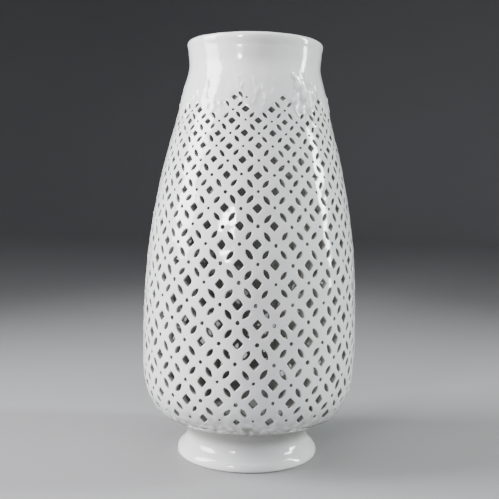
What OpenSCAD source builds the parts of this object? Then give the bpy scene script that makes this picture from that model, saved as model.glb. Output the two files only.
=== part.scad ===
// Openwork vase: a flared cushion foot, a pierced body luted together from three
// sections, a plain neck and a rolled lip. The axis is Z and the foot stands on z = 0.

/* [Whole vase] */
// overall height, from the foot to the lip
height = 300; // [290:1:310]
// widest radius of the body, at the belly
belly_r = 78; // [76:0.5:80]
// thickness of the pot wall
wall = 3.25; // [3:0.25:4]

/* [Foot] */
// widest radius of the cushion foot
foot_r = 52; // [51:0.25:54]
// radius of the waist between the foot and the body
waist_r = 45; // [44.5:0.25:46]
// height of the joint between the foot and the body
joint_z = 27; // [26:0.25:27.5]
// radius of the hollow under the foot
foot_hollow_r = 39.5; // [36:0.5:40]
// width of the ring that the foot stands on
contact_w = 3.5; // [2.5:0.25:4]
// thickness of the floor of the vase
floor_t = 4.5; // [4:0.25:6]

/* [Mouth] */
// height of the rolled lip
lip_h = 9; // [8:0.5:11]
// radius of the round top edge of the lip
lip_round = 3; // [2.5:0.25:3]
// radius of the open throat
throat_r = 43; // [42:0.25:43]
// length of the straight throat under the lip
throat_h = 15; // [10:0.5:16]
// height of the joint between the body and the neck
neck_z = 263; // [262:0.5:266]

/* [Openwork] */
// diamonds in one ring of the openwork
diamonds = 20; // [18:2:20]
// rings of diamonds, from the lowest to the tips of the peaks
rings = 20; // [20:1:20]
// height of the lowest ring
first_ring_z = 42.4; // [42:0.1:43]
// distance between two rings, up to the belly
ring_step = 13.2; // [12.9:0.05:13.3]
// turn of the whole openwork about the axis
openwork_turn = -5.7; // [-9:0.1:9]
// size of a diamond, as a share of the distance between two rings
diamond_share = 0.5; // [0.4:0.01:0.5]
// size of a dot, as a share of the distance between two rings
dot_share = 0.18; // [0.14:0.01:0.24]
// length of a petal, as a share of the way from dot to dot
petal_share = 0.42; // [0.38:0.01:0.42]
// width of a petal, as a share of its length
petal_width = 0.38; // [0.3:0.01:0.42]
// lean of a petal, as a share of the lean of the line from dot to dot
petal_lean = 0.84; // [0.84:0.02:1]

/* [Hidden] */
$fn = 128;
glaze = "whitesmoke";

// Outer shape of the body and neck: [share of the height, share of the belly radius].
body_shape = [
    [0.093, 0.718], [0.11, 0.834], [0.133, 0.908], [0.173, 0.97], [0.233, 0.995], [0.3, 1],
    [0.417, 0.985], [0.517, 0.954], [0.617, 0.896], [0.717, 0.814], [0.8, 0.728],
    [0.867, 0.667], [0.9, 0.636], [0.937, 0.604], [0.97, 0.612]
];
under_z = height * body_shape[0][0];
lip_z = height - lip_h;
throat_z = lip_z - throat_h;
lip_r = throat_r + 2 * lip_round;

// Foot: a round bottom edge, a cushion, a waist, and a ledge inside for the floor.
edge_round = 2.4;
contact_r = foot_r - edge_round;
cushion_top = 16;
ledge_w = 2.5;
ledge_z = joint_z - floor_t;
curve_steps = 8;

// Openwork: above the belly the rings crowd together faster than the wall narrows,
// and the top ends in peaks that are four columns wide and two rings high.
belly_z = height * body_shape[5][0];
columns = 2 * diamonds;
column_angle = 360 / columns;
crowding = 1.75;
peak_columns = 4;
peak_rings = 2;
first_valley = 1;
petal_shoulder = 0.22;
run_out = 2;
slope_step = 0.5;

// The three sections of the body meet halfway between two rings.
low_seam_ring = 6.5;
high_seam_ring = 13.5;

// The wall's outline bends a little above each ring, clear of the holes, and more
// often where it turns in under the lowest ring.
bend_shift = 0.262;
under_bends = [0.06, 0.17, 0.34, 0.6];

// Slope of the body shape at its point i, as radius share per height share.
function shape_slope(i) =
    let(low = body_shape[max(i - 1, 0)], high = body_shape[min(i + 1, len(body_shape) - 1)])
    (high[1] - low[1]) / (high[0] - low[0]);

// Number of the last point of the body shape at or under a height share.
function shape_index(share, i = 0) =
    i >= len(body_shape) - 2 || share < body_shape[i + 1][0] ? i : shape_index(share, i + 1);

// Outer radius of the wall at height z, on a smooth curve through the shape's points.
function wall_r(z) =
    let(
        share = z / height,
        i = shape_index(share),
        a = body_shape[i],
        b = body_shape[i + 1],
        w = b[0] - a[0],
        t = (share - a[0]) / w,
        start = (1 + 2 * t) * (1 - t) * (1 - t) * a[1] + t * (1 - t) * (1 - t) * w * shape_slope(i),
        end = t * t * (3 - 2 * t) * b[1] + t * t * (t - 1) * w * shape_slope(i + 1)
    )
    belly_r * (start + end);

// How far the wall's outward normal points up from level, in degrees.
function wall_tilt(z) = atan2(wall_r(z - slope_step) - wall_r(z + slope_step), 2 * slope_step);

// A point of the wall in its own section, a depth under the glaze.
function wall_point(z, depth) =
    [wall_r(z) - depth * cos(wall_tilt(z)), z - depth * sin(wall_tilt(z))];

// Heights of the rings, each one step above the last.
function ring_heights(z, count) =
    let(step = ring_step * pow(wall_r(max(z, belly_z)) / belly_r, crowding))
    count == 0 ? [] : concat([z], ring_heights(z + step, count - 1));
heights = ring_heights(first_ring_z, rings);

// Height of a ring, or of a place between two rings.
function ring_z(k) =
    let(i = min(max(floor(k), 0), rings - 2))
    heights[i] + (k - i) * (heights[i + 1] - heights[i]);

low_seam = ring_z(low_seam_ring);
high_seam = ring_z(high_seam_ring);

// Distance between two rings, and between two columns, around ring k.
function ring_gap(k) = ring_z(k + 0.5) - ring_z(k - 0.5);
function column_gap(k) = wall_r(ring_z(k)) * column_angle * PI / 180;

// Highest ring that is cut in a column, between the plain lappets of the neck.
function top_ring(column) =
    let(place = (column - first_valley + 2 * peak_columns) % peak_columns)
    rings - 1 - abs(place - peak_rings);

// A cubic curve through four control points, without its first point.
function curve(a, b, c, d) =
    [for (i = [1:curve_steps])
        let(t = i / curve_steps, s = 1 - t)
        s * s * s * a + 3 * s * s * t * b + 3 * s * t * t * c + t * t * t * d];

// An arc in the section, from one angle to another, without its first point.
function arc(centre, radius, from, to) =
    [for (i = [1:curve_steps])
        let(angle = from + (to - from) * i / curve_steps)
        centre + radius * [cos(angle), sin(angle)]];

// The heights at which the wall's outline bends.
bends = concat(
    [for (share = under_bends) under_z + share * (first_ring_z - under_z)],
    [for (k = [0:rings - 1]) ring_z(k + bend_shift)]
);

// Levels of a stretch of the wall: its two ends and the bends between them.
function stretch(from, to) =
    concat([from], [for (z = bends) if (z > from + 1 && z < to - 1) z], [to]);

// Inner side of a stretch, from the top down, with level ends.
function inner_side(levels) =
    let(top = len(levels) - 1)
    [for (i = [top:-1:0])
        let(inner = wall_point(levels[i], wall))
        [inner[0], i == 0 || i == top ? levels[i] : inner[1]]];

// A prism through the wall at a column and a ring; its outline is [down, across].
module through_wall(column, ring) {
    z = ring_z(ring);
    middle = wall_point(z, wall / 2);
    rotate([0, 0, openwork_turn + column * column_angle - 90])
        translate([middle[0], 0, middle[1]])
            rotate([0, 90 - wall_tilt(z), 0])
                translate([0, 0, -wall / 2 - run_out])
                    linear_extrude(height = wall + 2 * run_out)
                        children();
}

// A four-sided hole that stands on a corner: a large one is a diamond, a small one a dot.
module diamond_hole(column, ring, share) {
    down = share * ring_gap(ring) / 2;
    across = share * column_gap(ring) / 2;
    through_wall(column, ring)
        polygon([[down, 0], [0, across], [-down, 0], [0, -across]]);
}

// A petal-shaped hole, which stands a little steeper than the line from dot to dot.
module petal_hole(column, ring, side) {
    half = petal_share * norm([ring_gap(ring), column_gap(ring)]) / 2;
    shoulder = 2 * half * petal_shoulder;
    side_w = half * petal_width;
    through_wall(column, ring)
        rotate(side * petal_lean * atan2(column_gap(ring), ring_gap(ring)))
            polygon([[half, 0], [shoulder, side_w], [-shoulder, side_w],
                     [-half, 0], [-shoulder, -side_w], [shoulder, -side_w]]);
}

// Every hole from one ring up to another; a seam halfway between rings cuts the petals on it.
module openwork(from_ring, to_ring) {
    for (k = [ceil(from_ring):floor(to_ring)])
        for (c = [0:columns - 1])
            if (k <= top_ring(c))
                diamond_hole(c, k, (c + k) % 2 == 0 ? diamond_share : dot_share);
    for (k = [floor(from_ring):floor(to_ring)])
        for (c = [0:columns - 1])
            if (k + 0.5 <= top_ring(c + 0.5))
                petal_hole(c + 0.5, k + 0.5, (c + k) % 2 == 0 ? 1 : -1);
}

// The cushion foot: it stands on a narrow ring and is hollow underneath.
module foot_ring() {
    waist = [waist_r - 0.2, cushion_top];
    color(glaze)
        rotate_extrude()
            polygon(concat(
                [[contact_r - contact_w, 0], [contact_r, 0]],
                arc([contact_r, edge_round], edge_round, -90, 0),
                curve([foot_r, edge_round], [foot_r, 8.2], [waist_r - 0.2, 8.4], waist),
                [[waist_r, 0.6 * joint_z + 0.4 * cushion_top], [waist_r + 0.5, joint_z]],
                [[foot_hollow_r + ledge_w, joint_z], [foot_hollow_r + ledge_w, ledge_z]],
                [[foot_hollow_r, ledge_z], [foot_hollow_r, cushion_top]],
                [[contact_r - contact_w - 1, 1]]
            ));
}

// The floor of the vase, a slab let into the top of the foot.
module floor_disc() {
    color(glaze)
        translate([0, 0, ledge_z])
            cylinder(r = foot_hollow_r + ledge_w, h = floor_t);
}

// The lowest section: it turns in over the foot and the edge of the floor.
module lower_body() {
    levels = stretch(under_z, low_seam);
    inner_wall = [for (i = [len(levels) - 2:-1:0]) wall_point(levels[i], wall)];
    color(glaze)
        difference() {
            rotate_extrude()
                polygon(concat(
                    [[foot_hollow_r + 1, joint_z], [waist_r + 0.5, joint_z]],
                    [for (z = levels) wall_point(z, 0)],
                    [[wall_point(low_seam, wall)[0], low_seam]],
                    inner_wall,
                    [[foot_hollow_r + 1, joint_z + wall / 2]]
                ));
            openwork(0, low_seam_ring);
        }
}

// A section of pierced wall with level ends.
module pierced_wall(from, to, from_ring, to_ring) {
    levels = stretch(from, to);
    color(glaze)
        difference() {
            rotate_extrude()
                polygon(concat([for (z = levels) [wall_r(z), z]], inner_side(levels)));
            openwork(from_ring, to_ring);
        }
}

module middle_body() {
    pierced_wall(low_seam, high_seam, low_seam_ring, high_seam_ring);
}

module upper_body() {
    pierced_wall(high_seam, neck_z, high_seam_ring, rings - 1);
}

// The plain neck: its waisted outside runs over a straight round throat.
module neck_collar() {
    neck_steps = 6;
    step = (lip_z - neck_z) / neck_steps;
    color(glaze)
        rotate_extrude()
            polygon(concat(
                [for (i = [0:neck_steps]) [wall_r(neck_z + i * step), neck_z + i * step]],
                [[throat_r, lip_z], [throat_r, throat_z]],
                [[wall_point(neck_z, wall)[0], neck_z]]
            ));
}

// The rolled lip: it flares a little past the neck and has a full round top.
module rolled_lip() {
    round_z = height - lip_round;
    low = [wall_r(lip_z), lip_z];
    color(glaze)
        rotate_extrude()
            polygon(concat(
                [[throat_r, lip_z], low],
                curve(low, low + [0.5, 2], [lip_r, round_z - 3], [lip_r, round_z]),
                arc([lip_r - lip_round, round_z], lip_round, 0, 180)
            ));
}

foot_ring();
floor_disc();
lower_body();
middle_body();
upper_body();
neck_collar();
rolled_lip();
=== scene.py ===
"""Openwork vase: the smooth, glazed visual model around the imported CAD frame.

Shapes are worked out in millimetres, in the frame of the CAD, and scaled by MM.
A place on the wall is (u, z): u is the angle from the front (-Y) towards +X, and z
is the height at which the plain outline is met. Depth is measured in from there.
"""

import itertools
import math

import bpy
import numpy as np
from mathutils import Matrix, Vector
from mathutils.geometry import delaunay_2d_cdt


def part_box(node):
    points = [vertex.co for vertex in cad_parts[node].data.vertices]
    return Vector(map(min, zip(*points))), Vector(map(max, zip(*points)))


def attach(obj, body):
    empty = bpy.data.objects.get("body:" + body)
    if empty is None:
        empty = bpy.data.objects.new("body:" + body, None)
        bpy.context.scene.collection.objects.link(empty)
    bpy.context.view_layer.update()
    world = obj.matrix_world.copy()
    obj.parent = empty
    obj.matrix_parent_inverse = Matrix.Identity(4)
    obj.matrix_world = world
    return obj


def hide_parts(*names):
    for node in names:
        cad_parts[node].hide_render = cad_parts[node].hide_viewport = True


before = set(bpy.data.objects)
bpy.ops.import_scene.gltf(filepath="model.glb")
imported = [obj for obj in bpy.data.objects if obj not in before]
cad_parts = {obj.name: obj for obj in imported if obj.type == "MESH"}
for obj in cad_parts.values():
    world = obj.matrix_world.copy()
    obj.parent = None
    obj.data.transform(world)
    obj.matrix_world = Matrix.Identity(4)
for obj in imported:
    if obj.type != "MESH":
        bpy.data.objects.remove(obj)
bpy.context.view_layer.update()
rng = np.random.RandomState(41)

# ---------------------------------------------------------------- sizes, in mm
CAD_HEIGHT = 300.0
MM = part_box("rolled_lip")[1].z / CAD_HEIGHT
BELLY_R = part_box("lower_body")[1].x / MM
FOOT_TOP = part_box("foot_ring")[1].z / MM
FOOT_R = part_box("foot_ring")[1].x / MM
NECK_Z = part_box("neck_collar")[0].z / MM
LIP_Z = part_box("rolled_lip")[0].z / MM
LIP_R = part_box("rolled_lip")[1].x / MM
WALL = 3.25
WAIST_R = 45.0
THROAT_R = 43.0
THROAT_Z = 276.0
FOOT_HOLLOW_R = 39.5
LEDGE_R = 42.0
LEDGE_Z = 22.5
CUSHION_TOP = 16.0
LIP_ROUND = 3.0

# Outer shape of the body and neck: (share of the height, share of the belly radius).
BODY_SHAPE = np.array([
    (0.093, 0.718), (0.11, 0.834), (0.133, 0.908), (0.173, 0.97), (0.233, 0.995),
    (0.3, 1.0), (0.417, 0.985), (0.517, 0.954), (0.617, 0.896), (0.717, 0.814),
    (0.8, 0.728), (0.867, 0.667), (0.9, 0.636), (0.937, 0.604), (0.97, 0.612),
])
UNDER_Z = BODY_SHAPE[0, 0] * CAD_HEIGHT
BELLY_Z = BODY_SHAPE[5, 0] * CAD_HEIGHT

# Openwork lattice.
COLUMNS = 40
RINGS = 20
FIRST_RING_Z = 42.4
RING_STEP = 13.2
CROWDING = 1.75
TURN = math.radians(-5.7)
COLUMN_ANGLE = 2 * math.pi / COLUMNS
PEAK_COLUMNS = 4
PEAK_RINGS = 2
FIRST_VALLEY = 1
SEAM_RINGS = (6, 13)
SEAM_SHIFT = 1.5
LEFT_OUT = {("diamond", 4, 18), ("diamond", 38, 18), ("diamond", 35, 19)}

# Corners of the meshes: those round each edge, and how close they are on the wall.
EDGE_COLUMNS = 384
CIRCLE = 2 * math.pi * np.arange(EDGE_COLUMNS) / EDGE_COLUMNS
BODY_START_Z = 31.5
COARSE_SPACE = 3.1
FINE_SPACE = 1.35
FINE_BELOW_Z = 40
FINE_ABOVE_Z = 234
HOLE_REACH = 12

# Sizes of the holes, as shares of the distances between rings and columns.
DIAMOND_UP = 0.275
DIAMOND_ACROSS = 0.268
DOT_SIZE = 0.102
SOFT_EDGE = 0.056
SOFT_DOT_EDGE = 0.034
# A petal that leans left and one that leans right: (half length, width, lean).
PETAL_LEFT = (0.212, 0.43, 0.77)
PETAL_RIGHT = (0.196, 0.46, 0.88)


def wrapped(angle):
    """The same angle, between minus and plus half a turn."""
    return np.mod(angle + math.pi, 2 * math.pi) - math.pi


# ------------------------------------------------------------ the plain outline
def shape_slopes():
    """Slope of the body shape at each of its points."""
    low = BODY_SHAPE[np.maximum(np.arange(len(BODY_SHAPE)) - 1, 0)]
    high = BODY_SHAPE[np.minimum(np.arange(len(BODY_SHAPE)) + 1, len(BODY_SHAPE) - 1)]
    return (high[:, 1] - low[:, 1]) / (high[:, 0] - low[:, 0])


SLOPES = shape_slopes()


def wall_r(z):
    """Outer radius of the wall at a height, on a smooth curve through the shape."""
    share = np.asarray(z, float) / CAD_HEIGHT
    i = np.clip(np.searchsorted(BODY_SHAPE[:, 0], share, side="right") - 1,
                0, len(BODY_SHAPE) - 2)
    w = BODY_SHAPE[i + 1, 0] - BODY_SHAPE[i, 0]
    t = (share - BODY_SHAPE[i, 0]) / w
    s = 1 - t
    start = (1 + 2 * t) * s * s * BODY_SHAPE[i, 1] + t * s * s * w * SLOPES[i]
    end = t * t * (3 - 2 * t) * BODY_SHAPE[i + 1, 1] + t * t * (t - 1) * w * SLOPES[i + 1]
    return BELLY_R * (start + end)


def wall_tilt(z):
    """How far the wall's outward normal points up from level."""
    return np.arctan2(wall_r(z - 0.5) - wall_r(z + 0.5), 1.0)


# Conformal height: a step of 1 is as long as the local radius, as a step of u is.
Z_TABLE = np.linspace(UNDER_Z, NECK_Z, 4000)
R_TABLE = wall_r(Z_TABLE)
V_STEPS = np.hypot(np.diff(Z_TABLE), np.diff(R_TABLE)) / (0.5 * (R_TABLE[1:] + R_TABLE[:-1]))
V_TABLE = np.concatenate([[0.0], np.cumsum(V_STEPS)])


def v_of(z):
    return np.interp(z, Z_TABLE, V_TABLE)


def z_of(v):
    return np.interp(v, V_TABLE, Z_TABLE)


def ring_heights():
    """Heights of the rings; above the belly they crowd together."""
    heights = [FIRST_RING_Z]
    while len(heights) < RINGS:
        z = heights[-1]
        near = float(wall_r(max(z, BELLY_Z))) / BELLY_R
        heights.append(z + RING_STEP * near ** CROWDING)
    return np.array(heights)


HEIGHTS = ring_heights()


def ring_z(k):
    """Height of a ring, or of a place between two rings."""
    i = min(max(int(math.floor(k)), 0), RINGS - 2)
    return HEIGHTS[i] + (k - i) * (HEIGHTS[i + 1] - HEIGHTS[i])


def top_ring(column):
    """Highest ring that is cut in a column, between the plain lappets of the neck."""
    return RINGS - 1 - abs((column - FIRST_VALLEY) % PEAK_COLUMNS - PEAK_RINGS)


# --------------------------------------------------- the glaze: how it stands proud
def smoothstep(x):
    x = np.clip(x, 0.0, 1.0)
    return x * x * (3 - 2 * x)


WAVE_R = 65


def wave_set(count, low, high, seed):
    """Random waves round and up the vase, of wavelengths from low to high in mm."""
    r = np.random.RandomState(seed)
    length = np.exp(r.uniform(math.log(low), math.log(high), count))
    lean = r.uniform(0, 2 * math.pi, count)
    k = 2 * math.pi / length
    return (np.round(k * np.cos(lean) * WAVE_R), k * np.sin(lean),
            r.uniform(0, 2 * math.pi, count), 1 / math.sqrt(count))


def waves(u, z, made):
    around, up, phase, scale = made
    total = np.zeros_like(u)
    for a, b, p in zip(around, up, phase):
        total += np.sin(a * u + b * z + p)
    return total * scale


BROAD = wave_set(16, 60, 160, 3)
MEDIUM = wave_set(24, 12, 30, 5)
FINE = wave_set(30, 4.5, 9, 7)

RUN_COUNT = 52
HEAVY_RUNS = (0.56, 0.63, 0.69, 0.76, 0.84)
RUN_REACH = 0.12


def glaze_runs():
    """Runs of glaze: (angle, top, length, width, height, sway, phase) of each."""
    r = np.random.RandomState(23)
    runs = []
    for i in range(RUN_COUNT):
        u0 = 2 * math.pi * (i + r.uniform(-0.45, 0.45)) / RUN_COUNT
        runs.append((u0, r.uniform(254, 272), r.uniform(10, 26), r.uniform(1.0, 1.8),
                     r.uniform(0.25, 0.8), r.uniform(0.6, 1.9), r.uniform(0, 6.28)))
    # The heaviest runs hang right of the front.
    for k, u0 in enumerate(HEAVY_RUNS):
        runs.append((u0, 276.0 - 3.5 * (k % 3), 35.0 - 4 * (k % 2), 1.5 + 0.2 * (k % 3),
                     1.75 - 0.3 * (k % 2), 1.9, 1.9 * k))
    return runs


RUNS = glaze_runs()

# A torn spot in the glaze by the crease, at the front: a pit over a bead.
TEAR_Z = 35.0
TEAR_HALF = 3.2


def tear(u, z, drop):
    """How much a place belongs to the torn spot, or to the bead a drop below it."""
    along = wrapped(u) * wall_r(np.minimum(z, LIP_Z))
    across = z - (TEAR_Z - drop) - 0.3 * along
    return np.exp(-(along / TEAR_HALF) ** 2 - (across / 1.5) ** 2)


def crease_pool(u, z):
    """Painted shade, partly pooled grey glaze: greyer under the lowest holes, a dark uneven
    line at the crease, and darker in the torn pit.
    """
    band = 0.48 * smoothstep((54 - z) / 18) * (0.85 + 0.5 * waves(u, z, FINE))
    line = smoothstep((35.5 - z) / 4.0) * (0.9 + 0.5 * waves(u, z, FINE))
    return np.clip(band + line + 2.0 * tear(u, z, 0.0), 0.0, 1.0)


def lappet_edge(u):
    """Height of the zigzag between the openwork and the plain neck."""
    column = (u - TURN) / COLUMN_ANGLE
    place = np.mod(column - FIRST_VALLEY, PEAK_COLUMNS)
    rise = PEAK_RINGS - np.abs(place - PEAK_RINGS)
    return np.interp(rise, [0, PEAK_RINGS], [HEIGHTS[-3], HEIGHTS[-1]]) + 4.2


def hanging_glaze(u, z):
    """How far the lappets and the runs between the peaks stand proud, in mm."""
    radius = wall_r(np.minimum(z, LIP_Z))
    out = 0.42 * smoothstep((z - lappet_edge(u) + 2.2) / 3.2) * smoothstep((281 - z) / 22)
    for u0, top, length, width, height, sway, phase in RUNS:
        across = wrapped(u - u0)
        near = np.abs(across) < RUN_REACH
        if not near.any():
            continue
        down = (top - z[near]) / length
        path = across[near] * radius[near] - sway * np.sin(z[near] / 4.1 + phase)
        wide = width * (1 + 0.35 * np.sin(z[near] / 1.9 + 2 * phase))
        along = smoothstep(down * 5) * smoothstep((1 - down) * 4)
        lumps = 0.65 + 0.35 * np.sin(z[near] / 1.3 + phase * 3)
        out[near] += height * along * lumps * np.exp(-(path / wide) ** 2)
    return out


def proud(u, z):
    """How far the glaze stands out from the plain outline, in mm."""
    u = np.asarray(u, float)
    z = np.asarray(z, float)
    fade = smoothstep((z - 262) / 12) * smoothstep((LIP_Z - 4 - z) / 8 + 1)
    out = 0.22 * waves(u, z, BROAD) + 0.13 * waves(u, z, MEDIUM) * (1 - 0.5 * fade)
    out += 0.03 * waves(u, z, FINE) * (1 - 0.7 * fade)
    out += 0.5 * waves(u, z, FINE) * smoothstep((41 - z) / 7)
    out += 0.7 * tear(u, z, 2.8) - 1.1 * tear(u, z, 0.0)
    upper = (z > 228) & (z < 284)
    if upper.any():
        out[upper] += hanging_glaze(u[upper], z[upper])
    # The crease over the foot and the rounded lip stay on the outline.
    out *= smoothstep((z - UNDER_Z) / 7)
    out *= smoothstep((LIP_Z + 4 - z) / 12)
    # Nothing stands outside the widest line of the belly.
    return np.minimum(out, BELLY_R - wall_r(np.minimum(z, LIP_Z)) - 0.02)


def frame_at(u, z):
    """Outward normal, direction round, and direction up the wall, as unit vectors."""
    tilt = wall_tilt(z)
    s, c = np.sin(u), np.cos(u)
    normal = np.stack([np.cos(tilt) * s, -np.cos(tilt) * c, np.sin(tilt)], 1)
    round_ = np.stack([c, s, np.zeros_like(u)], 1)
    up = np.stack([-np.sin(tilt) * s, np.sin(tilt) * c, np.cos(tilt)], 1)
    return normal, round_, up


def wall_points(u, z, depth, glaze=1.0):
    """Points of the wall at a depth under the glaze, in mm."""
    tilt = wall_tilt(z)
    out = proud(u, z) * glaze - depth
    r = wall_r(z) + out * np.cos(tilt)
    return np.stack([r * np.sin(u), -r * np.cos(u), z + out * np.sin(tilt)], 1)


def glaze_normals(u, z):
    """Normals of the glazed surface, from how fast proud() changes."""
    normal, round_, up = frame_at(u, z)
    step = 0.15
    radius = wall_r(z)
    du = (proud(u + step / radius, z) - proud(u - step / radius, z)) / (2 * step)
    tilt = wall_tilt(z)
    dz = step * np.cos(tilt)
    ds = (proud(u, z + dz) - proud(u, z - dz)) / (2 * step)
    n = normal - du[:, None] * round_ - ds[:, None] * up
    return n / np.linalg.norm(n, axis=1, keepdims=True)


# ------------------------------------------------------------------- the holes
def smooth_outline(kind, half_up, half_across):
    """Outline of a hole, anticlockwise, as (across, up) from its middle."""
    count = {"diamond": 20, "petal": 18, "dot": 10}[kind]
    t = 2 * math.pi * np.arange(count) / count
    c, s = np.cos(t), np.sin(t)
    if kind == "diamond":
        power = rng.uniform(1.58, 1.84)
        x, y = np.sign(c) * np.abs(c) ** power, np.sign(s) * np.abs(s) ** power
    elif kind == "petal":
        x, y = np.sign(c) * np.abs(c) ** rng.uniform(1.3, 1.55), s
    else:
        x, y = c, s
    wobble = (1 + rng.uniform(-0.05, 0.05) * np.cos(2 * t + rng.uniform(0, 6.28))
              + rng.uniform(-0.05, 0.05) * np.cos(3 * t + rng.uniform(0, 6.28)))
    return np.stack([x * half_across * wobble, y * half_up * wobble], 1)


def outline_normals(outline):
    """Directions out of a hole at the points of its outline."""
    ahead = np.roll(outline, -1, 0) - np.roll(outline, 1, 0)
    n = np.stack([ahead[:, 1], -ahead[:, 0]], 1)
    return n / np.linalg.norm(n, axis=1, keepdims=True)


def turned(points, angle):
    c, s = math.cos(angle), math.sin(angle)
    return points @ np.array([[c, s], [-s, c]])


def make_hole(kind, column, k):
    """One hole of the openwork, with the unevenness of a hand-cut one."""
    z = ring_z(k)
    gap = ring_z(k + 0.5) - ring_z(k - 0.5)
    wide = float(wall_r(z)) * COLUMN_ANGLE
    grow = 1 + rng.uniform(-0.09, 0.09)
    if k < 0.6:
        grow *= rng.uniform(0.74, 1.05)
    angle = rng.normal(0, 0.055)
    if kind == "diamond":
        outline = smooth_outline(kind, DIAMOND_UP * gap * grow, DIAMOND_ACROSS * wide * grow)
    elif kind == "dot":
        size = DOT_SIZE * grow * rng.uniform(0.84, 1.12)
        outline = smooth_outline(kind, size * gap, size * wide)
    else:
        lean_left = (math.floor(column) + math.floor(k)) % 2 == 0
        half_share, width_share, lean_share = PETAL_LEFT if lean_left else PETAL_RIGHT
        half = half_share * math.hypot(gap, wide) * grow
        outline = smooth_outline(kind, half, half * width_share)
        lean = lean_share * math.atan2(wide, gap)
        angle += lean if lean_left else -lean
    outline = turned(outline, angle)
    shift = rng.normal(0, 0.034, 2).clip(-0.07, 0.07) * gap
    if k == RINGS - 1:
        shift[1] += 0.16 * gap
    u = TURN + column * COLUMN_ANGLE + shift[0] / float(wall_r(z))
    v = float(v_of(z)) + shift[1] / float(wall_r(z))
    edge = (SOFT_DOT_EDGE if kind == "dot" else SOFT_EDGE) * gap
    return {"kind": kind, "column": column, "k": k, "u": u, "v": v,
            "outline": outline, "normals": outline_normals(outline), "edge": edge}


def all_holes():
    """Every hole. The peaks are uneven: some lack a diamond, one has a petal and a dot more."""
    holes = []
    for k in range(RINGS):
        for c in range(COLUMNS):
            kind = "diamond" if (c + k) % 2 == 0 else "dot"
            if k <= top_ring(c):
                hole = make_hole(kind, c, k)
                if (kind, c, k) not in LEFT_OUT:
                    holes.append(hole)
        for c in range(COLUMNS):
            if k + 0.5 <= top_ring(c + 0.5):
                holes.append(make_hole("petal", c + 0.5, k + 0.5))
    holes.append(make_hole("petal", 39.62, 19.4))
    holes.append(make_hole("dot", 0, 19))
    return holes


def hole_loop(hole, offset):
    """(u, z) of a hole's outline, moved out from the hole by an offset in mm."""
    radius = float(wall_r(z_of(hole["v"])))
    points = hole["outline"] + offset * hole["normals"]
    return hole["u"] + points[:, 0] / radius, z_of(hole["v"] + points[:, 1] / radius)


# --------------------------------------------------------- triangles of the wall
def in_annulus(u, v):
    """The wall laid flat as an annulus, without changing its angles."""
    rho = np.exp(v)
    return np.stack([rho * np.cos(u), rho * np.sin(u)], 1)


def open_grid(holes):
    """Places between the holes that the wall's triangles may use as corners."""
    rows, z, odd = [], BODY_START_Z + 2.6, 0
    while z < NECK_Z - 1.0:
        space = FINE_SPACE if z > FINE_ABOVE_Z or z < FINE_BELOW_Z else COARSE_SPACE
        radius = float(wall_r(z))
        count = int(2 * math.pi * radius / space)
        u = 2 * math.pi * (np.arange(count) + 0.5 * odd) / count
        rows.append(np.stack([u, np.full(count, float(v_of(z)))], 1))
        z += 0.87 * space * math.cos(float(wall_tilt(z)))
        odd = 1 - odd
    grid = np.concatenate(rows)
    keep = np.ones(len(grid), bool)
    for hole in holes:
        radius = float(wall_r(z_of(hole["v"])))
        near = np.abs(grid[:, 1] - hole["v"]) < HOLE_REACH / radius
        index = np.nonzero(near & keep)[0]
        across = wrapped(grid[index, 0] - hole["u"])
        spot = np.stack([across, grid[index, 1] - hole["v"]], 1) * radius
        close = np.abs(spot[:, 0]) < HOLE_REACH
        index, spot = index[close], spot[close]
        rim = hole["outline"] + hole["edge"] * hole["normals"]
        reach = np.einsum("ij,kj->ik", spot, hole["normals"])
        past = reach - np.einsum("kj,kj->k", rim, hole["normals"])[None, :]
        margin = 0.75 if z_of(hole["v"]) > FINE_ABOVE_Z else 1.2
        keep[index[past.max(1) < margin]] = False
    return grid[keep]


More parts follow.
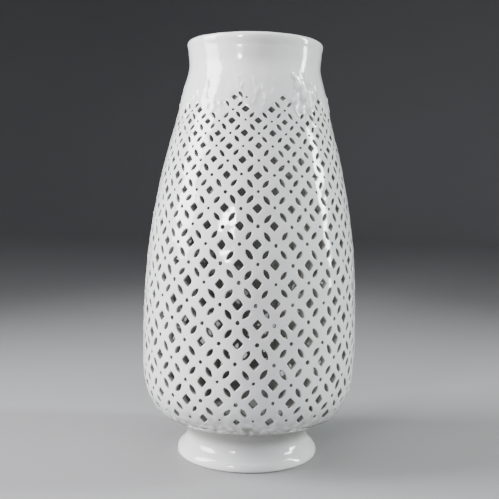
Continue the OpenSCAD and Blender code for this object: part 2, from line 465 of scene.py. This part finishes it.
def build_body(holes):
    """Triangulates the whole pierced wall once, then deals it out to the sections."""
    u_all, v_all, loops, edges = [], [], [], []
    total = 0

    def add(u, v):
        nonlocal total
        u_all.append(u)
        v_all.append(v)
        index = np.arange(total, total + len(u))
        total += len(u)
        return index

    low = add(CIRCLE, np.full(EDGE_COLUMNS, float(v_of(BODY_START_Z))))
    high = add(CIRCLE, np.full(EDGE_COLUMNS, float(v_of(NECK_Z))))
    for ring in (low, high):
        edges += list(zip(ring, np.roll(ring, -1)))
    for hole in holes:
        u, z = hole_loop(hole, hole["edge"])
        index = add(u, v_of(z))
        loops.append(index)
        edges += list(zip(index, np.roll(index, -1)))
    # A seam runs from petal to petal, keeping to the dot's side of each diamond's tip.
    seams = []
    for ring in SEAM_RINGS:
        row = [i for i, h in enumerate(holes) if h["kind"] == "petal" and h["k"] == ring + 0.5]
        row.sort(key=lambda i: holes[i]["column"])
        z = ring_z(ring + 0.5)
        chain = []
        for n, i in enumerate(row):
            j = row[(n + 1) % len(row)]
            column = round(holes[i]["column"] + 0.5)
            away = SEAM_SHIFT if (column + ring) % 2 == 0 else -SEAM_SHIFT
            u, v = TURN + column * COLUMN_ANGLE, float(v_of(z)) + away / float(wall_r(z))
            mid = add(np.array([u]), np.array([v]))[0]
            a = nearest(holes[i], loops[i], u, v)
            b = nearest(holes[j], loops[j], u, v)
            chain.append((a, mid, b))
            edges += [(a, mid), (mid, b)]
        seams.append((row, chain))
    grid = open_grid(holes)
    add(grid[:, 0], grid[:, 1])
    u, v = np.concatenate(u_all), np.concatenate(v_all)
    flat = in_annulus(u, v)
    found = delaunay_2d_cdt([Vector(p) for p in flat], [(int(a), int(b)) for a, b in edges],
                            [], 0, 1e-9, True)
    verts, faces, origin = found[0], found[2], found[3]
    if len(verts) != len(flat):
        raise ValueError(f"holes touch: {len(flat)} points became {len(verts)}")
    back = np.array([o[0] for o in origin])
    tris = back[np.array([list(f) for f in faces])]
    a, b, c = flat[tris[:, 0]], flat[tris[:, 1]], flat[tris[:, 2]]
    area = (b[:, 0] - a[:, 0]) * (c[:, 1] - a[:, 1]) - (b[:, 1] - a[:, 1]) * (c[:, 0] - a[:, 0])
    # The annulus is seen from inside the vase, so what turns left there faces inward.
    tris[area > 0] = tris[area > 0][:, ::-1]
    label = flood(tris, edges, len(flat))
    biggest = np.argsort(-np.bincount(label))[:len(SEAM_RINGS) + 1]
    biggest = sorted(biggest, key=lambda n: v[tris[label == n]].mean())
    return u, v, loops, seams, low, high, [tris[label == n] for n in biggest]


def nearest(hole, index, u, v):
    """The corner of a hole's loop that is nearest to a place on the wall."""
    at_u, at_z = hole_loop(hole, hole["edge"])
    return index[int(np.argmin(np.hypot(wrapped(at_u - u), v_of(at_z) - v)))]


def flood(tris, edges, count):
    """Numbers the regions of triangles that the constraint edges part."""
    walls = {min(a, b) * count + max(a, b) for a, b in edges}
    owner = {}
    links = [[] for _ in tris]
    for t, tri in enumerate(tris.tolist()):
        for i in range(3):
            a, b = tri[i], tri[(i + 1) % 3]
            key = min(a, b) * count + max(a, b)
            if key in walls:
                continue
            if key in owner:
                links[t].append(owner[key])
                links[owner[key]].append(t)
            else:
                owner[key] = t
    label = np.full(len(tris), -1)
    number = 0
    for start in range(len(tris)):
        if label[start] >= 0:
            continue
        stack = [start]
        label[start] = number
        while stack:
            t = stack.pop()
            for other in links[t]:
                if label[other] < 0:
                    label[other] = number
                    stack.append(other)
        number += 1
    return label


# ------------------------------------------------------------------ making pieces
class Piece:
    """Collects the points, normals, painted shade and faces of one closed piece."""

    def __init__(self):
        self.points, self.normals, self.pool, self.faces = [], [], [], []
        self.total = 0

    def add(self, points, normals, pool=0.0):
        self.points.append(points)
        self.normals.append(normals)
        self.pool.append(np.broadcast_to(np.asarray(pool, float), (len(points),)).copy())
        index = np.arange(self.total, self.total + len(points))
        self.total += len(points)
        return index

    def bridge(self, first, second):
        """Faces between two closed rows; going down outside and up inside faces out."""
        self.faces += np.stack([first, second, np.roll(second, -1),
                                np.roll(first, -1)], 1).tolist()

    def make(self, name, material, *nodes):
        """The piece as a Blender object, with its normals as they were worked out."""
        points = np.concatenate(self.points)
        normals = np.concatenate(self.normals)
        pool = np.concatenate(self.pool)
        flat = np.fromiter(itertools.chain.from_iterable(self.faces), int)
        used = np.unique(flat)
        renumber = np.full(len(points), -1)
        renumber[used] = np.arange(len(used))
        corners = iter(renumber[flat].tolist())
        faces = [tuple(itertools.islice(corners, len(f))) for f in self.faces]
        mesh = bpy.data.meshes.new(name)
        mesh.from_pydata((points[used] * MM).tolist(), [], faces)
        mesh.update()
        mesh.polygons.foreach_set("use_smooth", np.ones(len(mesh.polygons), bool))
        # Painted shade, partly pooled glaze, is kept per point for the material.
        store = mesh.attributes.new("pool", "FLOAT", "POINT")
        store.data.foreach_set("value", pool[used].astype(np.float32))
        mesh.normals_split_custom_set_from_vertices(normals[used].tolist())
        mesh.materials.append(material)
        piece = bpy.data.objects.new(name, mesh)
        bpy.context.scene.collection.objects.link(piece)
        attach(piece, "root")
        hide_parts(*nodes)


def turned_row(r, z):
    """Points of a level circle round the axis."""
    return np.stack([r * np.sin(CIRCLE), -r * np.cos(CIRCLE), z * np.ones_like(CIRCLE)], 1)


def turned_normal(nr, nz):
    """One normal, given as (out, up), at every point of a level circle."""
    length = math.hypot(nr, nz) or 1.0
    one = np.ones_like(CIRCLE)
    return np.stack([nr / length * np.sin(CIRCLE), -nr / length * np.cos(CIRCLE),
                     nz / length * one], 1)


# Rows down the side of a hole: (angle of the softened edge, on the outer side or not).
HOLE_ROWS = [(30, True), (60, True), (90, True), (90, False), (45, False)]
EDGE_DROP = 0.8
INNER_EDGE = 0.35


def hole_sides(holes):
    """Points, normals and painted shade of every row of the holes' sides, hole after hole."""
    sizes = [len(h["outline"]) for h in holes]
    starts = np.concatenate([[0], np.cumsum(sizes)])
    outline = np.concatenate([h["outline"] for h in holes])
    facing = np.concatenate([h["normals"] for h in holes])
    u0, v0, edge = (np.repeat([h[key] for h in holes], sizes) for key in ("u", "v", "edge"))
    radius = wall_r(z_of(v0))
    rows = []
    for angle, outside in HOLE_ROWS:
        a = math.radians(angle)
        reach = edge if outside else np.full(len(edge), INNER_EDGE)
        spot = outline + (reach * (1 - math.sin(a)))[:, None] * facing
        u, z = u0 + spot[:, 0] / radius, z_of(v0 + spot[:, 1] / radius)
        drop = EDGE_DROP * reach * (1 - math.cos(a))
        normal, round_, up = frame_at(u, z)
        into = -(facing[:, :1] * round_ + facing[:, 1:] * up)
        face = glaze_normals(u, z) if outside else -normal
        points = wall_points(u, z, drop if outside else WALL - drop, 1.0 if outside else 0.0)
        # Painted shade, partly pooled glaze: darker down the softened edge into the hole, and
        # full grey on the inner side.
        pool = 0.9 * math.sin(a) ** 3 if outside else 1.0
        rows.append((points, math.cos(a) * face + math.sin(a) * into, pool))
    return rows, starts


SECTIONS = (("vase_lower_body", "lower_body"), ("vase_middle_body", "middle_body"),
            ("vase_upper_body", "upper_body"))


def cut_holes(loops, seams):
    """For each hole on a seam: the seam, and where it leaves right and left of the hole."""
    cut = {}
    for number, (row, chain) in enumerate(seams):
        for n, i in enumerate(row):
            right = int(np.nonzero(loops[i] == chain[n][0])[0][0])
            left = int(np.nonzero(loops[i] == chain[n - 1][2])[0][0])
            cut[i] = (number, right, left)
    return cut


def line_hole(piece, rows, cut, section):
    """The faces down the side of a hole, or down the part of it that is in a section."""
    count = len(rows[0])
    steps = range(count)
    if cut is not None:
        number, right, left = cut
        above = [(right + n) % count for n in range((left - right) % count)]
        steps = above if section > number else [n for n in steps if n not in above]
    for first, second in zip(rows, rows[1:]):
        for n in steps:
            m = (n + 1) % count
            piece.faces.append([first[n], first[m], second[m], second[n]])


def close_seam(piece, seam, cuts, sides, outer, inner, below):
    """The joint faces of a section on a seam, from each cut hole to the next."""
    row, chain = seam
    for n, (_, mid, _) in enumerate(chain):
        i, j = row[n], row[(n + 1) % len(row)]
        down = [r[cuts[j][2]] for r in sides[j]]
        back = [r[cuts[i][1]] for r in sides[i]][::-1]
        rim = [outer[mid]] + down + [inner[mid]] + back
        piece.faces.append(rim if below else rim[::-1])


def build_sections(material):
    """The three pierced sections of the body, which share one set of triangles."""
    holes = all_holes()
    u, v, loops, seams, low, high, parts = build_body(holes)
    z = z_of(v)
    outer_points, outer_normals = wall_points(u, z, 0.0), glaze_normals(u, z)
    # The inner surface has the same triangles, with its own softer hole edges.
    iu, iz = u.copy(), z.copy()
    for hole, index in zip(holes, loops):
        iu[index], iz[index] = hole_loop(hole, INNER_EDGE)
    inner_points = wall_points(iu, iz, WALL, 0.0)
    inner_normals = -frame_at(iu, iz)[0]
    cuts = cut_holes(loops, seams)
    side_rows, starts = hole_sides(holes)
    for section, (name, cad_node) in enumerate(SECTIONS):
        piece = Piece()
        # Painted shade on the outer wall, darker towards the crease over the foot.
        outer = piece.add(outer_points, outer_normals, crease_pool(u, z))
        # Painted shade: the whole inner surface is painted the full grey.
        inner = piece.add(inner_points, inner_normals, 1.0)
        tris = parts[section]
        piece.faces += outer[tris].tolist() + inner[tris[:, ::-1]].tolist()
        inside = np.zeros(len(u), bool)
        inside[np.unique(tris)] = True
        row_index = [piece.add(*row) for row in side_rows]
        sides = {}
        for i, index in enumerate(loops):
            if inside[index].any():
                span = slice(starts[i], starts[i + 1])
                rows = [outer[index]] + [row[span] for row in row_index] + [inner[index]]
                sides[i] = [row.tolist() for row in rows]
                line_hole(piece, sides[i], cuts.get(i), section)
        for number, seam in enumerate(seams):
            if section in (number, number + 1):
                close_seam(piece, seam, cuts, sides, outer, inner, section == number)
        if section == 0:
            close_underside(piece, outer[low], inner[low])
        if section == len(SECTIONS) - 1:
            piece.bridge(inner[high], outer[high])
        piece.make(name, material, cad_node)


def close_underside(piece, outer, inner):
    """The turned-in underside of the lowest section, down to the foot and the floor."""
    # Painted shade: the underside, the top of the foot and the inside here are painted grey,
    # under the body's overhang.
    levels = [30.4, 29.4, 28.6, UNDER_Z]
    last = outer
    for z in levels:
        zz = np.full(EDGE_COLUMNS, z)
        row = piece.add(wall_points(CIRCLE, zz, 0.0), glaze_normals(CIRCLE, zz), 1.0)
        piece.bridge(last, row)
        last = row
    for r, z in ((52.0, 27.45), (WAIST_R + 0.5, FOOT_TOP), (FOOT_HOLLOW_R + 1, FOOT_TOP)):
        row = piece.add(turned_row(r, z), turned_normal(0.05, -1), 0.8)
        piece.bridge(last, row)
        last = row
    row = piece.add(turned_row(FOOT_HOLLOW_R + 1, FOOT_TOP + WALL / 2),
                    turned_normal(-0.3, 1), 1.0)
    piece.bridge(last, row)
    last = row
    for z in levels[::-1]:
        zz = np.full(EDGE_COLUMNS, z)
        row = piece.add(wall_points(CIRCLE, zz, WALL, 0.0), -frame_at(CIRCLE, zz)[0], 1.0)
        piece.bridge(last, row)
        last = row
    piece.bridge(last, inner)


def bezier(a, b, c, d, count):
    """A cubic curve through four control points, without its first point."""
    t = np.arange(1, count + 1)[:, None] / count
    s = 1 - t
    a, b, c, d = (np.array(p, float) for p in (a, b, c, d))
    return s ** 3 * a + 3 * s * s * t * b + 3 * s * t * t * c + t ** 3 * d


def arc(centre, radius, start, end, count):
    """An arc in the section, between two angles in degrees, without its first point."""
    t = np.radians(start + (end - start) * np.arange(1, count + 1) / count)
    return np.stack([centre[0] + radius * np.cos(t), centre[1] + radius * np.sin(t)], 1)


def build_neck(material):
    """The plain neck: glazed waves and runs outside, a straight throat inside."""
    piece = Piece()
    rows = []
    for z in np.linspace(LIP_Z, NECK_Z, 27):
        zz = np.full(EDGE_COLUMNS, z)
        rows.append(piece.add(wall_points(CIRCLE, zz, 0.0), glaze_normals(CIRCLE, zz)))
    zz = np.full(EDGE_COLUMNS, NECK_Z)
    low = wall_points(CIRCLE, zz, WALL, 0.0)
    # Painted shade inside the neck: full grey at its foot, easing off up the throat to none at
    # the lip.
    rows.append(piece.add(low, -frame_at(CIRCLE, zz)[0], 1.0))
    low_r, low_z = float(np.hypot(low[0, 0], low[0, 1])), float(low[0, 2])
    for t in (0.3, 0.6, 0.85):
        r = low_r + (THROAT_R - low_r) * smoothstep(t)
        rows.append(piece.add(turned_row(r, low_z + (THROAT_Z - low_z) * t),
                              turned_normal(-1, -0.3), 0.6))
    for z in (THROAT_Z, THROAT_Z + 5, THROAT_Z + 10, LIP_Z):
        throat_shade = 0.45 * (LIP_Z - z) / (LIP_Z - THROAT_Z)
        rows.append(piece.add(turned_row(THROAT_R, z), turned_normal(-1, 0), throat_shade))
    for a, b in zip(rows, rows[1:] + rows[:1]):
        piece.bridge(a, b)
    piece.make("vase_neck", material, "neck_collar")


def profile_normals(path):
    """Normals of a closed outline; a sharp corner takes the side that leads to it."""
    before, after = path - np.roll(path, 1, 0), np.roll(path, -1, 0) - path
    before = before / np.linalg.norm(before, axis=1, keepdims=True)
    after = after / np.linalg.norm(after, axis=1, keepdims=True)
    sharp = np.einsum("ij,ij->i", before, after) < 0.6
    ahead = np.where(sharp[:, None], before, before + after)
    n = np.stack([-ahead[:, 1], ahead[:, 0]], 1)
    return n / np.maximum(np.linalg.norm(n, axis=1, keepdims=True), 1e-9)


def wavy_revolve(name, material, cad_node, path, wave, pool):
    """A closed, turned piece; wave(u, r, z) stands proud of its outline."""
    piece = Piece()
    normals = profile_normals(path)
    rows = []
    step = 0.004
    for (r, z), (nr, nz), p in zip(path, normals, pool):
        out = wave(CIRCLE, r, z)
        slope = (wave(CIRCLE + step, r, z) - wave(CIRCLE - step, r, z)) / (2 * step * r)
        rise = (wave(CIRCLE, r - nz * 0.2, z + nr * 0.2)
                - wave(CIRCLE, r + nz * 0.2, z - nr * 0.2)) / 0.4
        points = turned_row(r, z) + out[:, None] * turned_normal(nr, nz)
        round_ = np.stack([np.cos(CIRCLE), np.sin(CIRCLE), 0 * CIRCLE], 1)
        along = turned_normal(-nz, nr)
        n = turned_normal(nr, nz) - slope[:, None] * round_ - rise[:, None] * along
        n /= np.linalg.norm(n, axis=1, keepdims=True)
        rows.append(piece.add(points, n, p))
    for a, b in zip(rows, rows[1:] + rows[:1]):
        piece.bridge(a, b)
    piece.make(name, material, cad_node)


def build_lip(material):
    """The rolled lip, a little uneven and full, with its crown kept under the top."""
    low_r = float(wall_r(LIP_Z))
    round_z = CAD_HEIGHT - LIP_ROUND
    slope = math.tan(-float(wall_tilt(LIP_Z)))
    outside = bezier((low_r, LIP_Z), (low_r + 2 * slope, LIP_Z + 2),
                     (LIP_R, round_z - 3), (LIP_R, round_z), 9)
    crown = arc((LIP_R - LIP_ROUND, round_z), LIP_ROUND, 0, 180, 18)
    up = np.concatenate([[(low_r, LIP_Z)], outside, crown])
    down = up[::-1]
    path = np.concatenate([down, [(THROAT_R, LIP_Z)]])

    def wave(u, r, z):
        if r < THROAT_R + 1:
            return 0 * u
        own = smoothstep((z - LIP_Z) / 4) * smoothstep((r - THROAT_R - 1) / 2)
        swell = (0.10 * np.sin(3 * u + 0.7) + 0.07 * np.sin(7 * u + 2.1)
                 + 0.035 * np.sin(17 * u + z) - 0.25)
        return proud(u, np.full(len(u), z)) + own * swell

    wavy_revolve("vase_lip", material, "rolled_lip", path, wave, np.zeros(len(path)))


def build_foot(material):
    """The cushion foot, glazed over its outside, with a bare ring to stand on."""
    round_ = 2.4
    contact = FOOT_R - round_
    waist = (WAIST_R - 0.2, CUSHION_TOP)
    cushion = np.concatenate([
        arc((contact, round_), round_, -90, 0, 9),
        bezier((FOOT_R, round_), (FOOT_R, 8.2), (WAIST_R - 0.2, 8.4), waist, 22),
        bezier(waist, (WAIST_R - 0.2, 20), (WAIST_R + 0.1, 24), (47.6, FOOT_TOP), 12),
    ])
    inside = np.array([(LEDGE_R, FOOT_TOP), (LEDGE_R, LEDGE_Z), (FOOT_HOLLOW_R, LEDGE_Z),
                       (FOOT_HOLLOW_R + 0.3, CUSHION_TOP + 1.5), (FOOT_HOLLOW_R + 2.8, 9.0),
                       (contact - 4.6, 1.6), (contact - 4.1, 0.5), (contact - 3.5, 0.0),
                       (contact, 0.0)])
    path = np.concatenate([cushion[::-1], inside[::-1]])
    # Painted shade: the cushion greys up its waist under the body's overhang, and the hollow
    # inside is grey.
    shade = 0.9 * smoothstep((cushion[::-1, 1] - 11) / 10)
    pool = np.concatenate([shade, np.full(len(inside), 0.6)])

    def wave(u, r, z):
        if r < WAIST_R - 0.4 or z < 0.3:
            return 0 * u
        ends = smoothstep((z - 0.3) / 2.5) * smoothstep((FOOT_TOP - z) / 3)
        swell = (0.13 * np.sin(2 * u + 1.1) + 0.09 * np.sin(5 * u + z / 6)
                 + 0.04 * np.sin(13 * u - z / 2.2) + 0.02 * np.sin(29 * u + z))
        return ends * (swell - 0.28)

    wavy_revolve("vase_foot", material, "foot_ring", path, wave, pool)


# ---------------------------------------------------------------------- materials
def node(tree, kind, **values):
    """A shader node, with its sockets and settings given by name."""
    made = tree.nodes.new(kind)
    for key, value in values.items():
        if key in made.inputs:
            made.inputs[key].default_value = value
        else:
            setattr(made, key, value)
    return made


def ramp(tree, source, low, high, low_value, high_value):
    """Maps a value from between low and high to between two others, and holds there."""
    made = tree.nodes.new("ShaderNodeMapRange")
    made.interpolation_type = "SMOOTHSTEP"
    for name, value in zip(("From Min", "From Max", "To Min", "To Max"),
                           (low, high, low_value, high_value)):
        made.inputs[name].default_value = value
    tree.links.new(source, made.inputs["Value"])
    return made.outputs["Result"]


def mix_colour(tree, factor, first, second):
    """A mix of two colours, each a fixed one or another node's."""
    made = tree.nodes.new("ShaderNodeMix")
    made.data_type = "RGBA"
    tree.links.new(factor, made.inputs["Factor"])
    for socket, value in ((made.inputs["A"], first), (made.inputs["B"], second)):
        if isinstance(value, tuple):
            socket.default_value = value
        else:
            tree.links.new(value, socket)
    return made.outputs["Result"]


def noise(tree, place, scale, detail=3.0, rough=0.55, distortion=0.0):
    made = node(tree, "ShaderNodeTexNoise", Scale=scale, Detail=detail, Roughness=rough,
                Distortion=distortion)
    tree.links.new(place, made.inputs["Vector"])
    return made.outputs["Fac"]


GLAZE_WHITE = (0.86, 0.87, 0.865, 1)
GLAZE_COOL = (0.80, 0.815, 0.835, 1)
GLAZE_WARM = (0.84, 0.815, 0.825, 1)
# Painted shade, partly pooled glaze: the dark grey that hollows, undersides and the inside are
# painted towards.
POOL_AND_SHADE_GREY = (0.25, 0.25, 0.232, 1)
SPECK = (0.30, 0.26, 0.22, 1)
BISCUIT = (0.74, 0.67, 0.57, 1)


def glaze(name, bare_foot=False):
    """White porcelain under a clear, slightly uneven glaze, greyed by painted shade and pooled
    glaze in its hollows; bare where a foot stands.
    """
    material = bpy.data.materials.new(name)
    material.use_nodes = True
    tree = material.node_tree
    shader = tree.nodes["Principled BSDF"]
    place = tree.nodes.new("ShaderNodeTexCoord").outputs["Object"]
    broad = noise(tree, place, 14, 3)
    patchy = noise(tree, place, 55, 4, 0.6, 0.4)
    fine = noise(tree, place, 420, 3)
    colour = mix_colour(tree, ramp(tree, broad, 0.35, 0.65, 0, 1), GLAZE_WHITE, GLAZE_COOL)
    colour = mix_colour(tree, ramp(tree, patchy, 0.52, 0.78, 0, 0.55), colour, GLAZE_WARM)
    # Painted shade, partly pooled glaze: the stored per-point amount mixes the colour towards
    # that grey.
    pool = node(tree, "ShaderNodeAttribute", attribute_name="pool").outputs["Fac"]
    colour = mix_colour(tree, pool, colour, POOL_AND_SHADE_GREY)
    spots = noise(tree, place, 900, 1, 0.4)
    sparse = noise(tree, place, 60, 2)
    both = node(tree, "ShaderNodeMath", operation="MULTIPLY")
    tree.links.new(ramp(tree, spots, 0.735, 0.77, 0, 1), both.inputs[0])
    tree.links.new(ramp(tree, sparse, 0.52, 0.62, 0, 0.7), both.inputs[1])
    colour = mix_colour(tree, both.outputs[0], colour, SPECK)
    rough = ramp(tree, patchy, 0.3, 0.75, 0.07, 0.16)
    if bare_foot:
        split = tree.nodes.new("ShaderNodeSeparateXYZ")
        tree.links.new(place, split.inputs[0])
        edge = node(tree, "ShaderNodeMath", operation="MULTIPLY_ADD")
        tree.links.new(patchy, edge.inputs[0])
        edge.inputs[1].default_value = -1.6 * MM
        tree.links.new(split.outputs["Z"], edge.inputs[2])
        bare = ramp(tree, edge.outputs[0], -0.5 * MM, 0.1 * MM, 1, 0)
        colour = mix_colour(tree, bare, colour, BISCUIT)
        lift = node(tree, "ShaderNodeMath", operation="MULTIPLY_ADD")
        tree.links.new(bare, lift.inputs[0])
        lift.inputs[1].default_value = 0.6
        tree.links.new(rough, lift.inputs[2])
        rough = lift.outputs[0]
    tree.links.new(colour, shader.inputs["Base Color"])
    tree.links.new(rough, shader.inputs["Roughness"])
    shader.inputs["IOR"].default_value = 1.52
    shader.inputs["Coat Weight"].default_value = 0.35
    shader.inputs["Coat Roughness"].default_value = 0.06
    dimple = node(tree, "ShaderNodeBump", Strength=0.25, Distance=0.10 * MM)
    tree.links.new(patchy, dimple.inputs["Height"])
    peel = node(tree, "ShaderNodeBump", Strength=0.12, Distance=0.05 * MM)
    tree.links.new(fine, peel.inputs["Height"])
    tree.links.new(dimple.outputs["Normal"], peel.inputs["Normal"])
    tree.links.new(peel.outputs["Normal"], shader.inputs["Normal"])
    return material


def plain_surface(name, colour, rough):
    """A matt, very slightly uneven surface."""
    material = bpy.data.materials.new(name)
    material.use_nodes = True
    tree = material.node_tree
    shader = tree.nodes["Principled BSDF"]
    place = tree.nodes.new("ShaderNodeTexCoord").outputs["Object"]
    soft = noise(tree, place, 6, 3)
    darker = tuple(0.94 * c for c in colour) + (1,)
    tree.links.new(mix_colour(tree, soft, tuple(colour) + (1,), darker),
                   shader.inputs["Base Color"])
    shader.inputs["Roughness"].default_value = rough
    return material


# -------------------------------------------------------------- floor and light
FLOOR_R = 2.3
SWEEP_R = 1.1
WALL_TOP = 3.4
FLOOR_SIDES = 96
SWEEP_STEPS = 14
FLOOR_COLOUR = (0.33, 0.33, 0.34)
FLOOR_ROUGH = 0.6


def studio_floor():
    """A pale round floor that sweeps up into a plain wall on every side."""
    outline = [(0.0, 0.0), (0.6, 0.0), (FLOOR_R, 0.0)]
    for i in range(1, SWEEP_STEPS + 1):
        a = math.radians(90 * i / SWEEP_STEPS)
        outline.append((FLOOR_R + SWEEP_R * math.sin(a), SWEEP_R * (1 - math.cos(a))))
    outline.append((FLOOR_R + SWEEP_R, WALL_TOP))
    points, faces = [(0.0, 0.0, 0.0)], []
    for r, z in outline[1:]:
        for i in range(FLOOR_SIDES):
            a = 2 * math.pi * i / FLOOR_SIDES
            points.append((r * math.cos(a), r * math.sin(a), z))
    for i in range(FLOOR_SIDES):
        j = (i + 1) % FLOOR_SIDES
        faces.append((0, 1 + i, 1 + j))
        for row in range(len(outline) - 2):
            low, high = 1 + row * FLOOR_SIDES, 1 + (row + 1) * FLOOR_SIDES
            faces.append((low + i, high + i, high + j, low + j))
    mesh = bpy.data.meshes.new("studio_floor")
    mesh.from_pydata(points, [], faces)
    mesh.polygons.foreach_set("use_smooth", np.ones(len(mesh.polygons), bool))
    mesh.materials.append(plain_surface("pale_floor", FLOOR_COLOUR, FLOOR_ROUGH))
    floor = bpy.data.objects.new("studio_floor", mesh)
    bpy.context.scene.collection.objects.link(floor)


def soft_light(name, azimuth, elevation, distance, width, height, power, colour, aim_z, spread):
    """A softbox aimed at the axis; azimuth 0 is in front of the vase and 90 to its right."""
    data = bpy.data.lights.new(name, "AREA")
    data.shape = "RECTANGLE"
    data.size, data.size_y = width, height
    data.energy = power
    data.color = colour
    data.spread = math.radians(spread)
    aim = Vector((0, 0, aim_z))
    a, e = math.radians(azimuth), math.radians(elevation)
    light = bpy.data.objects.new(name, data)
    light.location = aim + distance * Vector(
        (math.sin(a) * math.cos(e), -math.cos(a) * math.cos(e), math.sin(e)))
    light.rotation_euler = (aim - light.location).to_track_quat("-Z", "Y").to_euler()
    bpy.context.scene.collection.objects.link(light)


WORLD_COLOUR = (0.8, 0.82, 0.85, 1)
WORLD_STRENGTH = 0.34


def lights():
    """A fill from above, a box and a strip at the sides, and a window seen in the neck."""
    soft_light("top_fill", -14, 58, 1.2, 1.1, 0.7, 2.3, (1.0, 0.955, 1.0), 0.25, 100)
    soft_light("left_box", -80, 24, 0.85, 0.40, 0.80, 8.2, (1.0, 1.0, 1.0), 0.22, 100)
    soft_light("right_strip", 91, 20, 0.95, 0.13, 0.85, 5.4, (0.93, 1.0, 0.95), 0.20, 110)
    soft_light("window", -26, 8, 1.5, 0.20, 0.24, 1.3, (1.0, 0.97, 1.0), 0.285, 60)
    world = bpy.data.worlds.new("studio")
    world.use_nodes = True
    sky = world.node_tree.nodes["Background"]
    sky.inputs["Color"].default_value = WORLD_COLOUR
    sky.inputs["Strength"].default_value = WORLD_STRENGTH
    bpy.context.scene.world = world


CAMERA_PLACE = (0, -0.5815, 0.1991)
CAMERA_LENS = 57.1
CAMERA_DOWN = 4.76
CAMERA_ROLL = 1.26


def camera():
    """Level with the shoulder of the vase, and looking slightly down."""
    data = bpy.data.cameras.new("camera")
    data.sensor_width = 36.0
    data.lens = CAMERA_LENS
    data.shift_x = -0.0028
    data.clip_start = 0.01
    made = bpy.data.objects.new("camera", data)
    bpy.context.scene.collection.objects.link(made)
    made.matrix_world = (Matrix.Translation(CAMERA_PLACE)
                         @ Matrix.Rotation(math.radians(90 - CAMERA_DOWN), 4, "X")
                         @ Matrix.Rotation(math.radians(CAMERA_ROLL), 4, "Z"))
    bpy.context.scene.camera = made


def keep_floor_disc(material):
    """The floor of the vase keeps its CAD shape, under the same glaze."""
    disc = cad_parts["floor_disc"]
    for slot in disc.material_slots:
        slot.material = material


porcelain = glaze("glazed_porcelain")
foot_porcelain = glaze("glazed_porcelain_foot", bare_foot=True)
build_sections(porcelain)
build_neck(porcelain)
build_lip(porcelain)
build_foot(foot_porcelain)
keep_floor_disc(porcelain)
studio_floor()
lights()
camera()

bpy.context.view_layer.update()
